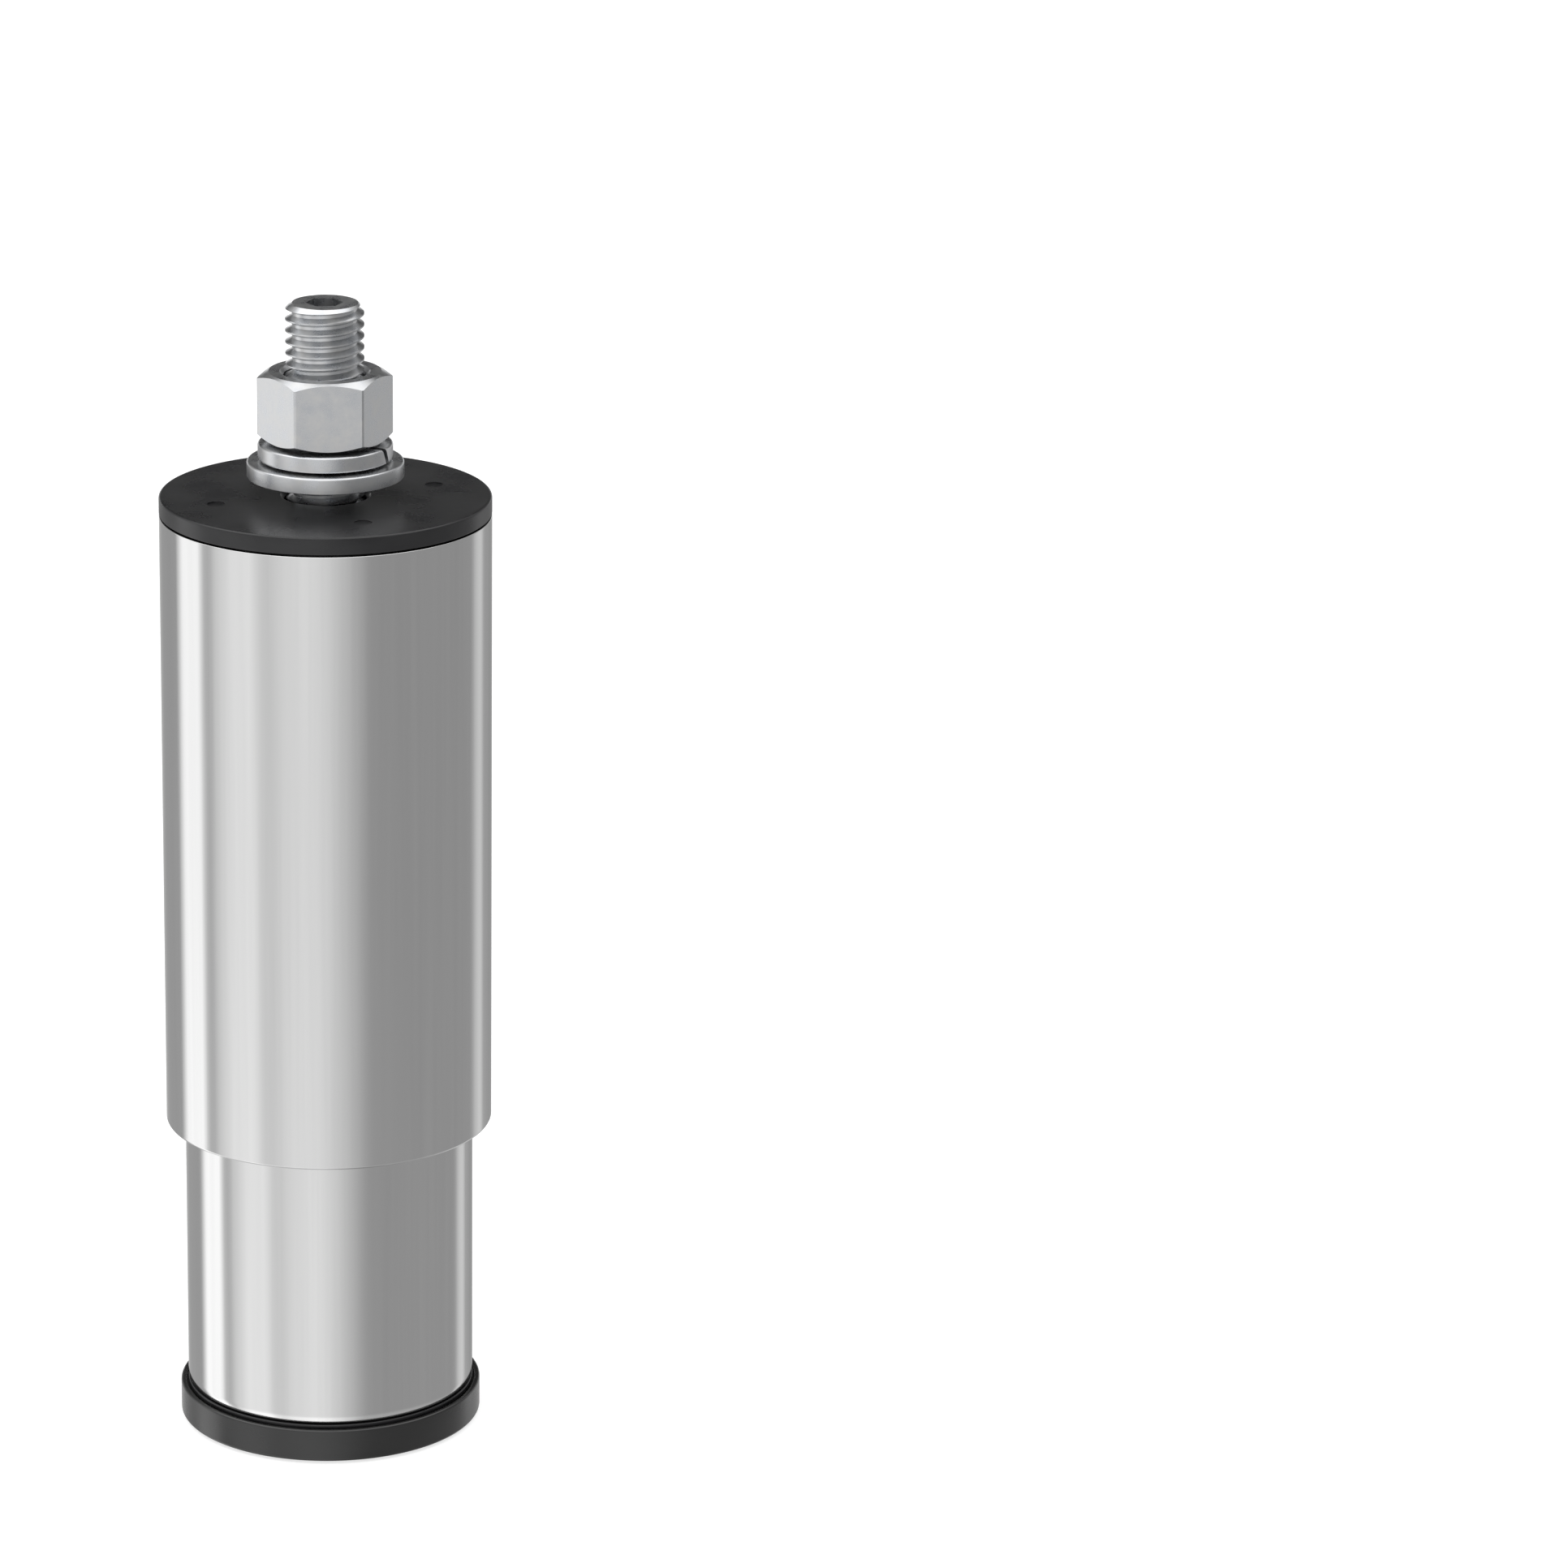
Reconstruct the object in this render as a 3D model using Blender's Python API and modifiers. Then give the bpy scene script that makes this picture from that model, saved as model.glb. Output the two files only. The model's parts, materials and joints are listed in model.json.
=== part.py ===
"""Telescoping leveling leg for stainless steel furniture, at its real size.

Metres, +Z up. The leg stands on the floor at z = 0 and its axis is the world's Z axis.
A stainless sleeve hangs from the furniture by an M12 rod. A second tube, which carries the
foot, runs inside the sleeve. The nut in its top end rides on the rod, so turning the lower
tube by hand raises or lowers it. The foot turns freely on a pivot bolt.
"""

import math

import bmesh
import bpy
from mathutils import Matrix

# Clearance between neighbouring pieces, and how finely round pieces are cut into facets.
GAP = 0.0003
FINE = 64
MEDIUM = 48
COARSE = 32

# How far a cutter reaches past what it cuts, and how far webs and ribs stop short of an end.
PAST = 0.001
INSET = 0.001

# Tubes.
SLEEVE_RADIUS = 0.0254
LOWER_RADIUS = 0.02245
TUBE_WALL = 0.0012
TUBE_EDGE = 0.0004
LOWER_TUBE_EDGE = 0.0006
SLEEVE_BOTTOM = 0.0495

# Where the furniture rests, the stud that stands above it, and the sheet it clamps.
SEAT_HEIGHT = 0.150
STUD_LENGTH = 0.030
SHEET_THICKNESS = 0.003

# M12 leveling thread: its turns from the stored height to fully in and to fully out.
THREAD_PITCH = 0.00175
TURNS_IN = 20
TURNS_OUT = 9
ROD_RADIUS = 0.006
ROD_CHAMFER = 0.0008
ROD_SOCKET_DEPTH = 0.006
SOCKET_FLATS = 0.005
M12_FLATS = 0.018
M12_NUT_HEIGHT = 0.0105

# A nut's corners are turned off down to a ring that is this share of its flats across.
NUT_FACE = 0.95
NUT_LEAD = 0.0006

# Washers and nut on the stud.
M12_WASHER_BORE = 0.0065
FLAT_WASHER_RADIUS = 0.0120
SPRING_WASHER_RADIUS = 0.0103
SPRING_WASHER_CUT = 0.0009
STUD_WASHER_THICKNESS = 0.0025
MOUNTING_NUT_HEIGHT = 0.0108

# Foot: its rim round the tube, its pivot boss, and the well for the pivot bolt's head.
FOOT_RADIUS = 0.0236
FOOT_HEIGHT = 0.0056
FOOT_LIFT = 0.0004
RIM_WALL = 0.0008
RIM_EDGE = 0.00035
SOLE_EDGE = 0.0005
FOOT_BOSS_RADIUS = 0.0112
HEAD_WELL_RADIUS = 0.0071
LOWER_TUBE_BOTTOM = 0.0064

# The pad under the foot, and the ring grooves in its sole.
PAD_OUTER = 0.0215
PAD_INNER = 0.0093
PAD_THICKNESS = 0.0020
PAD_EDGE = 0.0003
PAD_GROOVES = (0.0180, 0.0135)
PAD_GROOVE_WIDTH = 0.0010
PAD_GROOVE_DEPTH = 0.0007

# The foot's pivot, an M8 bolt, and what is stacked on it.
PIVOT_RADIUS = 0.004
PIVOT_CHAMFER = 0.0007
HEAD_RADIUS = 0.0065
HEAD_HEIGHT = 0.0034
HEAD_EDGE = 0.0005
HEAD_SOCKET_DEPTH = 0.0022
M8_FLATS = 0.013
M8_NUT_HEIGHT = 0.004
BOSS_OVER_HEAD = 0.0027
GLIDE_WASHER_RADIUS = 0.0110
GLIDE_WASHER_BORE = 0.0046
GLIDE_WASHER_THICKNESS = 0.0008
PIVOT_WASHER_RADIUS = 0.0084
PIVOT_WASHER_THICKNESS = 0.0010
BOLT_PAST_NUT = 0.0010

# Plug in the lower tube's end: its lip, the cavity under its floor, and the well over it.
LIP_THICKNESS = 0.0008
CAVITY_RADIUS = 0.0120
PLUG_FLOOR = 0.0036
WELL_RADIUS = 0.0186
WELL_DEPTH = 0.0060
WELL_WEB_START = 0.0095

# Nylon plugs: a flange, a skirt with crush ribs, and webs to a boss.
PLUG_SKIRT = 0.0018
CRUSH_RIB = 0.0003
WEB_WIDTH = 0.0016
WEB_BITE = 0.0005
CRUSH_RIBS = 12
WEBS = 8
FLANGE_THICKNESS = 0.0027
INSERT_DEPTH = 0.0226
CARRIER_FLANGE = 0.0058
CARRIER_DEPTH = 0.0200
CAP_THICKNESS = 0.0012
CAP_RADIUS = 0.0167
SHOULDER = 0.0030
BOSS_RADIUS = 0.0130
STOP_ROOM = 0.0110

# Split bush in the sleeve's mouth.
BUSH_HEIGHT = 0.0110
BUSH_LIFT = 0.0010
BUSH_SLIT = 0.0015

# End stop on the rod.
STOP_WASHER_RADIUS = 0.0102
STOP_WASHER_THICKNESS = 0.0015
RETAINING_RING_RADIUS = 0.0078
RETAINING_RING_THICKNESS = 0.0010
ROD_GROOVE_DEPTH = 0.0007
ROD_END = 0.00125

# Heights that follow from the ones above.
SLEEVE_TOP = SEAT_HEIGHT - FLANGE_THICKNESS - GAP
ROD_TOP = SEAT_HEIGHT + STUD_LENGTH
INSERT_BOTTOM = SEAT_HEIGHT - INSERT_DEPTH
CARRIER_TOP = INSERT_BOTTOM - GAP - TURNS_IN * THREAD_PITCH
CAP_BOTTOM = CARRIER_TOP - CAP_THICKNESS
POCKET_TOP = CAP_BOTTOM - GAP
POCKET_BOTTOM = POCKET_TOP - M12_NUT_HEIGHT - 2 * GAP
SHOULDER_BOTTOM = POCKET_BOTTOM - SHOULDER
CARRIER_SEAT = CARRIER_TOP - CARRIER_FLANGE
CARRIER_BOTTOM = CARRIER_SEAT - CARRIER_DEPTH
LOWER_TUBE_TOP = CARRIER_SEAT - GAP
STOP_TOP = SHOULDER_BOTTOM - TURNS_OUT * THREAD_PITCH - GAP
STOP_BOTTOM = STOP_TOP - STOP_WASHER_THICKNESS
RING_BOTTOM = STOP_BOTTOM - GAP - RETAINING_RING_THICKNESS
ROD_BOTTOM = RING_BOTTOM - ROD_END

# Radii that follow from the ones above.
SLEEVE_BORE = SLEEVE_RADIUS - TUBE_WALL
LOWER_BORE = LOWER_RADIUS - TUBE_WALL
ROD_HOLE = ROD_RADIUS + GAP
PIVOT_HOLE = PIVOT_RADIUS + GAP

# The slotted pin that keeps the rod from turning in the top insert.
LOCK_PIN_RADIUS = 0.0020
LOCK_PIN_WALL = 0.0006
LOCK_PIN_SLOT = 0.0007
LOCK_PIN_LENGTH = 0.0240
LOCK_PIN_HEIGHT = SEAT_HEIGHT - 0.0070


# ---------------------------------------------------------------- modelling helpers


def clear_scene():
    """Removes every object that the file starts with."""
    for thing in list(bpy.data.objects):
        bpy.data.objects.remove(thing)


def new_collection(name):
    collection = bpy.data.collections.new(name)
    bpy.context.scene.collection.children.link(collection)
    return collection


def new_material(name, colour, roughness, metallic):
    material = bpy.data.materials.new(name)
    material.use_nodes = True
    shader = material.node_tree.nodes["Principled BSDF"]
    shader.inputs["Base Color"].default_value = (*colour, 1.0)
    shader.inputs["Roughness"].default_value = roughness
    shader.inputs["Metallic"].default_value = metallic
    return material


def new_object(name, bm, collection):
    """An object that holds a bmesh's geometry."""
    mesh = bpy.data.meshes.new(name)
    bm.to_mesh(mesh)
    bm.free()
    thing = bpy.data.objects.new(name, mesh)
    collection.objects.link(thing)
    return thing


def arc(radius, height, size, start, end, steps=2):
    """Points of a rounded edge about (radius, height), its angles in degrees from outwards to up."""
    angles = [math.radians(start + (end - start) * i / steps) for i in range(steps + 1)]
    return [(radius + size * math.cos(a), height + size * math.sin(a)) for a in angles]


def ring(outer, inner, height, edge=0.0002):
    """A ring's outline with chamfered outer edges, from its top outer edge down and round."""
    return [
        (outer - edge, height),
        (outer, height - edge),
        (outer, edge),
        (outer - edge, 0.0),
        (inner, 0.0),
        (inner, height),
    ]


def turned(name, outline, collection, steps=FINE, closed=True):
    """A turned piece. Its outline runs down the outer side, and is open where it meets the axis."""
    bm = bmesh.new()
    points = [bm.verts.new((radius, 0.0, height)) for radius, height in outline]
    for first, second in zip(points, points[1:]):
        bm.edges.new((first, second))
    if closed:
        bm.edges.new((points[-1], points[0]))
    thing = new_object(name, bm, collection)
    screw = thing.modifiers.new("turn", "SCREW")
    screw.steps = steps
    screw.render_steps = steps
    screw.use_merge_vertices = True
    screw.merge_threshold = 0.00001
    return thing


def cylinder(name, radius, length, collection, sides=COARSE):
    """A cylinder, or a prism with few sides, that stands on its own origin."""
    bm = bmesh.new()
    bmesh.ops.create_cone(
        bm,
        cap_ends=True,
        segments=sides,
        radius1=radius,
        radius2=radius,
        depth=length,
        matrix=Matrix.Translation((0.0, 0.0, length / 2)),
    )
    return new_object(name, bm, collection)


def spokes(name, count, inner, outer, width, low, high, turn=0.0):
    """Separate upright plates round the axis, from the inner to the outer radius."""
    bm = bmesh.new()
    for i in range(count):
        around = Matrix.Rotation(turn + 2 * math.pi * i / count, 4, "Z")
        out = Matrix.Translation(((inner + outer) / 2, 0.0, (low + high) / 2))
        size = Matrix.Diagonal((outer - inner, width, high - low, 1.0))
        bmesh.ops.create_cube(bm, size=1.0, matrix=around @ out @ size)
    return new_object(name, bm, TOOLS)


def combine(part, tool, operation):
    """Cuts or joins a part with a tool, which stays in the file as a hidden guide."""
    tool.hide_render = True
    tool.display_type = "WIRE"
    boolean = part.modifiers.new(tool.name, "BOOLEAN")
    boolean.solver = "EXACT"
    boolean.operation = operation
    boolean.object = tool


def body_empty(name):
    """An empty on the leg's axis, which carries the pieces that move together."""
    empty = bpy.data.objects.new(name, None)
    empty.empty_display_size = 0.03
    PARTS.objects.link(empty)
    return empty


def finish(part, body, height, material):
    """Applies the part's modifiers, shades it, and hangs it on its body at its height."""
    bpy.context.view_layer.update()
    evaluated = part.evaluated_get(bpy.context.evaluated_depsgraph_get())
    mesh = bpy.data.meshes.new_from_object(evaluated)
    mesh.name = part.name
    mesh.shade_smooth()
    mesh.set_sharp_from_angle(angle=math.radians(30))
    mesh.materials.clear()
    mesh.materials.append(material)
    part.modifiers.clear()
    part.data = mesh
    part.parent = body
    part.location.z = height


def hex_nut(name, flats, height, bore, body, low, material):
    """A hexagon nut: its corners are turned off at 30 degrees at both ends."""
    corner = flats / math.sqrt(3)
    face = NUT_FACE * flats / 2
    reach = corner + NUT_LEAD
    drop = (reach - face) * math.tan(math.radians(30))
    envelope = [
        (face, height),
        (reach, height - drop),
        (reach, drop),
        (face, 0.0),
        (bore, 0.0),
        (bore, height),
    ]
    nut = cylinder(name, corner, height, PARTS, sides=6)
    combine(nut, turned(name + "_envelope", envelope, TOOLS, COARSE), "INTERSECT")
    finish(nut, body, low, material)


def plain_ring(name, outer, inner, thickness, body, low, material):
    """A flat washer, disc or plain bush."""
    washer = turned(name, ring(outer, inner, thickness), PARTS, COARSE)
    finish(washer, body, low, material)


def hex_cut(part, flats, low, high):
    """A hexagon pocket in a part, between two of its own heights."""
    tool = cylinder(part.name + "_pocket", flats / math.sqrt(3), high - low, TOOLS, sides=6)
    tool.location.z = low
    combine(part, tool, "DIFFERENCE")


def cross_hole(part, radius, length, height):
    """A hole right through a part along X, at one of its own heights."""
    tool = cylinder(part.name + "_cross_hole", radius, length, TOOLS, sides=32)
    tool.rotation_euler.y = math.radians(90)
    tool.location = (-length / 2, 0.0, height)
    combine(part, tool, "DIFFERENCE")


# ---------------------------------------------------------------- sleeve and rod


def tube_outline(radius, length, edge):
    """A tube's outline: rounded outer edge at its lower end, square edges elsewhere."""
    return [
        (radius, length),
        *arc(radius - edge, edge, edge, 0, -90),
        (radius - TUBE_WALL, 0.0),
        (radius - TUBE_WALL, length),
    ]


def outer_tube():
    """The stainless sleeve, open at both ends."""
    outline = tube_outline(SLEEVE_RADIUS, SLEEVE_TOP - SLEEVE_BOTTOM, TUBE_EDGE)
    finish(turned("outer_tube", outline, PARTS), UPPER_LEG, SLEEVE_BOTTOM, STAINLESS)


def top_insert():
    """Nylon plug in the sleeve's top: its flange carries the furniture, its pocket the rod's nut."""
    skirt = SLEEVE_BORE - GAP - CRUSH_RIB
    flange_underside = INSERT_DEPTH - FLANGE_THICKNESS
    core_top = flange_underside - PLUG_SKIRT
    outline = [
        *arc(SLEEVE_RADIUS - TUBE_EDGE, INSERT_DEPTH - TUBE_EDGE, TUBE_EDGE, 90, 0),
        (SLEEVE_RADIUS, flange_underside),
        (skirt, flange_underside),
        (skirt, 0.0),
        (skirt - PLUG_SKIRT, 0.0),
        (skirt - PLUG_SKIRT, core_top),
        (BOSS_RADIUS, core_top),
        (BOSS_RADIUS, 0.0),
        (ROD_HOLE, 0.0),
        (ROD_HOLE, INSERT_DEPTH),
    ]
    part = turned("top_insert", outline, PARTS, MEDIUM)
    webs = spokes(
        "top_insert_webs",
        WEBS,
        BOSS_RADIUS - WEB_BITE,
        skirt - PLUG_SKIRT + WEB_BITE,
        WEB_WIDTH,
        INSET,
        core_top + WEB_BITE,
        turn=math.pi / WEBS,
    )
    combine(part, webs, "UNION")
    ribs = spokes(
        "top_insert_ribs",
        CRUSH_RIBS,
        skirt - WEB_BITE,
        skirt + CRUSH_RIB,
        WEB_WIDTH,
        INSET,
        flange_underside + WEB_BITE,
        turn=math.pi / CRUSH_RIBS,
    )
    combine(part, ribs, "UNION")
    hex_cut(part, M12_FLATS + 2 * GAP, -PAST, M12_NUT_HEIGHT + 3 * GAP)
    cross_hole(part, LOCK_PIN_RADIUS + GAP, 2.2 * SLEEVE_RADIUS, LOCK_PIN_HEIGHT - INSERT_BOTTOM)
    finish(part, UPPER_LEG, INSERT_BOTTOM, NYLON)


def threaded_rod():
    """M12 rod: mounting stud above the seat, leveling screw inside the leg."""
    length = ROD_TOP - ROD_BOTTOM
    groove = ROD_RADIUS - ROD_GROOVE_DEPTH
    groove_low = ROD_END - GAP
    groove_high = ROD_END + RETAINING_RING_THICKNESS + GAP
    outline = [
        (0.0, length),
        (ROD_RADIUS - ROD_CHAMFER, length),
        (ROD_RADIUS, length - ROD_CHAMFER),
        (ROD_RADIUS, groove_high),
        (groove, groove_high),
        (groove, groove_low),
        (ROD_RADIUS, groove_low),
        (ROD_RADIUS, ROD_CHAMFER / 2),
        (ROD_RADIUS - ROD_CHAMFER / 2, 0.0),
        (0.0, 0.0),
    ]
    part = turned("threaded_rod", outline, PARTS, COARSE, closed=False)
    cross_hole(part, LOCK_PIN_RADIUS + GAP, 3 * ROD_RADIUS, LOCK_PIN_HEIGHT - ROD_BOTTOM)
    hex_cut(part, SOCKET_FLATS, length - ROD_SOCKET_DEPTH, length + PAST)
    finish(part, UPPER_LEG, ROD_BOTTOM, ZINC)


def lock_pin():
    """Rolled pin with a slot along its side, across the insert's boss and the rod."""
    bore = LOCK_PIN_RADIUS - LOCK_PIN_WALL
    outline = ring(LOCK_PIN_RADIUS, bore, LOCK_PIN_LENGTH, edge=0.0001)
    part = turned("lock_pin", outline, PARTS, COARSE)
    slot = spokes(
        "lock_pin_slot",
        1,
        LOCK_PIN_RADIUS / 4,
        LOCK_PIN_RADIUS + PAST,
        LOCK_PIN_SLOT,
        -PAST,
        LOCK_PIN_LENGTH + PAST,
    )
    combine(part, slot, "DIFFERENCE")
    finish(part, UPPER_LEG, LOCK_PIN_HEIGHT, SPRING_STEEL)
    part.rotation_euler.y = math.radians(90)
    part.location.x = -LOCK_PIN_LENGTH / 2


def spring_washer(low):
    """Split lock washer, with its cut slanted as it is when clamped flat."""
    thickness = STUD_WASHER_THICKNESS
    outline = ring(SPRING_WASHER_RADIUS, M12_WASHER_BORE, thickness)
    part = turned("spring_washer", outline, PARTS, COARSE)
    cut = spokes(
        "spring_washer_cut",
        1,
        M12_WASHER_BORE - PAST,
        SPRING_WASHER_RADIUS + PAST,
        SPRING_WASHER_CUT,
        -2 * thickness,
        2 * thickness,
    )
    cut.location.z = thickness / 2
    cut.rotation_euler.x = math.radians(25)
    combine(part, cut, "DIFFERENCE")
    finish(part, UPPER_LEG, low, ZINC)


def stud_hardware():
    """Flat washer, lock washer and nut, with room for the furniture's sheet below them."""
    flat_low = SEAT_HEIGHT + SHEET_THICKNESS
    spring_low = flat_low + STUD_WASHER_THICKNESS + GAP
    nut_low = spring_low + STUD_WASHER_THICKNESS + GAP
    plain_ring(
        "flat_washer",
        FLAT_WASHER_RADIUS,
        M12_WASHER_BORE,
        STUD_WASHER_THICKNESS,
        UPPER_LEG,
        flat_low,
        ZINC,
    )
    spring_washer(spring_low)
    hex_nut("mounting_nut", M12_FLATS, MOUNTING_NUT_HEIGHT, ROD_HOLE, UPPER_LEG, nut_low, ZINC)


def guide_bush():
    """Split nylon ring in the sleeve's mouth, in which the lower tube runs."""
    outline = ring(SLEEVE_BORE - GAP, LOWER_RADIUS + GAP, BUSH_HEIGHT, edge=0.0003)
    part = turned("guide_bush", outline, PARTS, MEDIUM)
    slit = spokes(
        "guide_bush_slit",
        1,
        LOWER_BORE,
        SLEEVE_RADIUS,
        BUSH_SLIT,
        -PAST,
        BUSH_HEIGHT + PAST,
        turn=math.pi / 2,
    )
    combine(part, slit, "DIFFERENCE")
    finish(part, UPPER_LEG, SLEEVE_BOTTOM + BUSH_LIFT, NYLON)


def rod_stop():
    """Washer and retaining ring on the rod's lower end, which stop the leg before it comes out."""
    plain_ring(
        "stop_washer",
        STOP_WASHER_RADIUS,
        ROD_HOLE,
        STOP_WASHER_THICKNESS,
        UPPER_LEG,
        STOP_BOTTOM,
        ZINC,
    )
    retaining_ring()


def retaining_ring():
    """Snap ring in the rod's groove, with a lug and a plier hole on each side of its mouth."""
    thickness = RETAINING_RING_THICKNESS
    bore = ROD_RADIUS - ROD_GROOVE_DEPTH + GAP
    mouth_width = 0.0036
    lug_place = 0.0083
    lug_angle = math.radians(24)
    lug_radius = 0.0015
    hole_radius = 0.0006
    outline = ring(RETAINING_RING_RADIUS, bore, thickness, edge=0.0001)
    part = turned("retaining_ring", outline, PARTS, COARSE)
    mouth = spokes(
        "retaining_ring_mouth",
        1,
        ROD_RADIUS / 2,
        RETAINING_RING_RADIUS + 2 * PAST,
        mouth_width,
        -PAST,
        thickness + PAST,
        turn=math.pi / 2,
    )
    combine(part, mouth, "DIFFERENCE")
    for side in (-1, 1):
        angle = math.pi / 2 + side * lug_angle
        across = lug_place * math.cos(angle)
        along = lug_place * math.sin(angle)
        lug = cylinder(f"retaining_ring_lug_{side}", lug_radius, thickness, TOOLS, sides=24)
        lug.location = (across, along, 0.0)
        combine(part, lug, "UNION")
        hole = cylinder(f"retaining_ring_hole_{side}", hole_radius, 3 * thickness, TOOLS, sides=16)
        hole.location = (across, along, -thickness)
        combine(part, hole, "DIFFERENCE")
    finish(part, UPPER_LEG, RING_BOTTOM, SPRING_STEEL)


# ---------------------------------------------------------------- lower leg


def lower_tube():
    """The stainless tube that carries the foot."""
    outline = tube_outline(LOWER_RADIUS, LOWER_TUBE_TOP - LOWER_TUBE_BOTTOM, LOWER_TUBE_EDGE)
    finish(turned("lower_tube", outline, PARTS), LOWER_LEG, LOWER_TUBE_BOTTOM, STAINLESS)


def nut_carrier():
    """Nylon plug in the lower tube's top. Its flange runs in the sleeve and it holds the nut."""
    skirt = LOWER_BORE - GAP - CRUSH_RIB
    total = CARRIER_TOP - CARRIER_BOTTOM
    core_top = CARRIER_DEPTH - PLUG_SKIRT
    flange = SLEEVE_BORE - GAP
    flange_edge = 0.0005
    outline = [
        (flange - flange_edge, total),
        (flange, total - flange_edge),
        (flange, CARRIER_DEPTH),
        (skirt, CARRIER_DEPTH),
        (skirt, 0.0),
        (skirt - PLUG_SKIRT, 0.0),
        (skirt - PLUG_SKIRT, core_top),
        (BOSS_RADIUS, core_top),
        (BOSS_RADIUS, 0.0),
        (STOP_ROOM, 0.0),
        (STOP_ROOM, SHOULDER_BOTTOM - CARRIER_BOTTOM),
        (ROD_HOLE, SHOULDER_BOTTOM - CARRIER_BOTTOM),
        (ROD_HOLE, POCKET_TOP - CARRIER_BOTTOM),
        (CAP_RADIUS + GAP, POCKET_TOP - CARRIER_BOTTOM),
        (CAP_RADIUS + GAP, total),
    ]
    part = turned("nut_carrier", outline, PARTS, MEDIUM)
    webs = spokes(
        "nut_carrier_webs",
        WEBS,
        BOSS_RADIUS - WEB_BITE,
        skirt - PLUG_SKIRT + WEB_BITE,
        WEB_WIDTH,
        INSET,
        core_top + WEB_BITE,
    )
    combine(part, webs, "UNION")
    ribs = spokes(
        "nut_carrier_ribs",
        CRUSH_RIBS,
        skirt - WEB_BITE,
        skirt + CRUSH_RIB,
        WEB_WIDTH,
        INSET,
        CARRIER_DEPTH + WEB_BITE,
        turn=math.pi / CRUSH_RIBS,
    )
    combine(part, ribs, "UNION")
    hex_cut(
        part,
        M12_FLATS + 2 * GAP,
        POCKET_BOTTOM - CARRIER_BOTTOM,
        POCKET_TOP - CARRIER_BOTTOM + GAP,
    )
    finish(part, LOWER_LEG, CARRIER_BOTTOM, NYLON)
    hex_nut(
        "leveling_nut",
        M12_FLATS,
        M12_NUT_HEIGHT,
        ROD_HOLE,
        LOWER_LEG,
        POCKET_BOTTOM + GAP,
        ZINC,
    )
    plain_ring(
        "nut_cap",
        CAP_RADIUS,
        ROD_HOLE + GAP,
        CAP_THICKNESS,
        LOWER_LEG,
        CAP_BOTTOM,
        ZINC,
    )


def lower_plug(floor_low):
    """Nylon plug in the lower tube's end: the tube stands on its lip, and the foot pivots on its floor."""
    skirt = LOWER_BORE - GAP - CRUSH_RIB
    bottom = LOWER_TUBE_BOTTOM - GAP - LIP_THICKNESS
    low = floor_low - bottom
    high = low + PLUG_FLOOR
    top = high + WELL_DEPTH
    outline = [
        (skirt, top),
        (skirt, LIP_THICKNESS),
        (LOWER_RADIUS, LIP_THICKNESS),
        (LOWER_RADIUS, 0.0),
        (CAVITY_RADIUS, 0.0),
        (CAVITY_RADIUS, low),
        (PIVOT_HOLE, low),
        (PIVOT_HOLE, high),
        (WELL_RADIUS, high),
        (WELL_RADIUS, top),
    ]
    part = turned("lower_plug", outline, PARTS, MEDIUM)
    webs = spokes(
        "lower_plug_webs",
        WEBS,
        WELL_WEB_START,
        WELL_RADIUS + WEB_BITE,
        WEB_WIDTH,
        high - WEB_BITE,
        top - 2 * INSET,
    )
    combine(part, webs, "UNION")
    ribs = spokes(
        "lower_plug_ribs",
        CRUSH_RIBS,
        skirt - WEB_BITE,
        skirt + CRUSH_RIB,
        WEB_WIDTH,
        LIP_THICKNESS - GAP,
        top - INSET,
        turn=math.pi / CRUSH_RIBS,
    )
    combine(part, ribs, "UNION")
    finish(part, LOWER_LEG, bottom, NYLON)


# ---------------------------------------------------------------- foot


def foot_base(boss_top, head_room):
    """Black moulded foot: a rim round the tube, a boss for the pivot, and a recess for the pad."""
    floor = LOWER_TUBE_BOTTOM - 2 * GAP - LIP_THICKNESS
    outline = [
        (FOOT_RADIUS - RIM_WALL, FOOT_HEIGHT),
        *arc(FOOT_RADIUS - RIM_EDGE, FOOT_HEIGHT - RIM_EDGE, RIM_EDGE, 90, 0),
        *arc(FOOT_RADIUS - SOLE_EDGE, FOOT_LIFT + SOLE_EDGE, SOLE_EDGE, 0, -90),
        (PAD_OUTER + GAP, FOOT_LIFT),
        (PAD_OUTER + GAP, PAD_THICKNESS + GAP),
        (PAD_INNER - GAP, PAD_THICKNESS + GAP),
        (PAD_INNER - GAP, FOOT_LIFT),
        (HEAD_WELL_RADIUS, FOOT_LIFT),
        (HEAD_WELL_RADIUS, head_room),
        (PIVOT_HOLE, head_room),
        (PIVOT_HOLE, boss_top),
        (FOOT_BOSS_RADIUS, boss_top),
        (FOOT_BOSS_RADIUS, floor),
        (FOOT_RADIUS - RIM_WALL, floor),
    ]
    finish(turned("foot_base", outline, PARTS), FOOT, 0.0, BLACK_PLASTIC)


def foot_pad():
    """Rubber ring under the foot, with two grooves in its sole."""
    outline = [
        (PAD_OUTER, PAD_THICKNESS),
        (PAD_OUTER, PAD_EDGE),
        (PAD_OUTER - PAD_EDGE, 0.0),
    ]
    for groove in PAD_GROOVES:
        outline += [
            (groove, 0.0),
            (groove, PAD_GROOVE_DEPTH),
            (groove - PAD_GROOVE_WIDTH, PAD_GROOVE_DEPTH),
            (groove - PAD_GROOVE_WIDTH, 0.0),
        ]
    outline += [(PAD_INNER, 0.0), (PAD_INNER, PAD_THICKNESS)]
    finish(turned("foot_pad", outline, PARTS, MEDIUM), FOOT, 0.0, RUBBER)


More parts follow.
